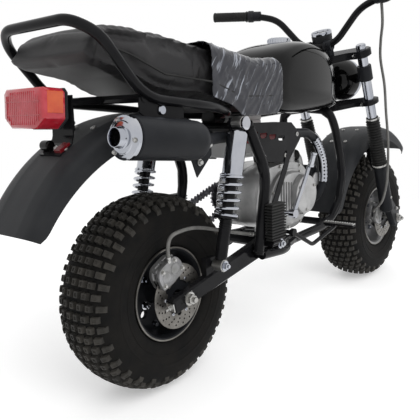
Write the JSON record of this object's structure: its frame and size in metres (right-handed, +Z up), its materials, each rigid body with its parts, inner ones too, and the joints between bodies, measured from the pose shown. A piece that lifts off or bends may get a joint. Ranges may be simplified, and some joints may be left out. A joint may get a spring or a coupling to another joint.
{
  "type": "light motorcycle",
  "caption": "Light off-road motorcycle with fat low-pressure tyres, open tube frame, single-cylinder engine and a long seat, leaning on its side stand.",
  "frame": {"origin": "the middle of the bounding box's floor, on the ground between the wheels", "axes": "+X to the motorcycle's front, +Y to the rider's left, +Z up from the level ground; the machine leans 5 degrees to its left about X"},
  "size_m": [1.8004, 0.7712, 1.0515],
  "materials": {
    "black_muffler": "heatproof black paint",
    "black_plastic": "dark grey plastic",
    "black_rubber": "matt black rubber",
    "cast_aluminium": "as-cast grey",
    "chrome": "bright chrome plate",
    "frame_paint": "gloss black paint",
    "gloss_black": "gloss black",
    "grey_hose": "light grey hose",
    "red_lens": "clear red lens",
    "red_plastic": "red plastic",
    "seat_vinyl": "dark grey seat vinyl",
    "spring_steel": "plain steel",
    "tyre_rubber": "moulded black rubber",
    "zinc_steel": "bright zinc plate"
  },
  "bodies": {
    "frame": {"head_and_spine": "frame_paint", "cradle_right": "frame_paint", "cradle_left": "frame_paint", "rear_uprights": "frame_paint", "seat_rail": "frame_paint", "swingarm_right": "frame_paint", "swingarm_left": "frame_paint", "shock_right": "chrome", "shock_left": "chrome", "rear_axle": "zinc_steel", "crankcase": "cast_aluminium", "clutch_cover": "cast_aluminium", "flywheel_cover": "cast_aluminium", "cylinder_and_head": "cast_aluminium", "carburettor": "black_plastic", "exhaust_pipe": "black_muffler", "heat_shield": "zinc_steel", "muffler": "black_muffler", "muffler_cap": "chrome", "kick_lever": "zinc_steel", "gear_lever": "zinc_steel", "footpeg_right": "black_rubber", "footpeg_left": "black_rubber", "brake_pedal": "frame_paint", "side_plate_right": "frame_paint", "side_plate_left": "frame_paint", "battery_box": "red_plastic", "fuel_tank": "gloss_black", "seat": "seat_vinyl", "rear_mudguard": "black_plastic", "tail_lamp": "red_lens", "lamp_bracket": "frame_paint", "rear_caliper": "cast_aluminium", "rear_brake_hose": "grey_hose", "drive_chain": "spring_steel"},
    "steering": {"fork_leg_right": "black_plastic", "fork_leg_left": "black_plastic", "fork_clamps": "chrome", "front_axle": "zinc_steel", "handlebar": "frame_paint", "grip_right": "black_rubber", "grip_left": "black_rubber", "headlamp": "gloss_black", "speedometer": "black_plastic", "front_mudguard": "black_plastic", "front_caliper": "cast_aluminium", "front_brake_hose": "grey_hose"},
    "front_wheel": {"front_tyre": "tyre_rubber", "front_rim": "zinc_steel", "front_brake_disc": "zinc_steel"},
    "rear_wheel": {"rear_tyre": "tyre_rubber", "rear_rim": "zinc_steel", "rear_brake_disc": "zinc_steel", "rear_sprocket": "zinc_steel"},
    "side_stand": {"side_stand": "frame_paint"}
  },
  "joints": [
    {"name": "steering_turn", "type": "hinge", "parent": "frame", "child": "steering", "pos_m": [0.39085, -0.02728, 0.68789], "axis": [-0.3827, 0.0805, 0.9204], "range_deg": [-38, 38]},
    {"name": "front_wheel_spin", "type": "hinge", "parent": "steering", "child": "front_wheel", "pos_m": [0.65989, -0.06643, 0.2404], "axis": [0, 0.9962, -0.0872], "continuous": true},
    {"name": "rear_wheel_spin", "type": "hinge", "parent": "frame", "child": "rear_wheel", "pos_m": [-0.52011, -0.06643, 0.2404], "axis": [0, 0.9962, -0.0872], "continuous": true},
    {"name": "side_stand_fold", "type": "hinge", "parent": "frame", "child": "side_stand", "pos_m": [-0.02211, 0.0863, 0.2422], "axis": [0.1984, 0.8732, 0.4452], "range_deg": [0, 90.76]}
  ]
}
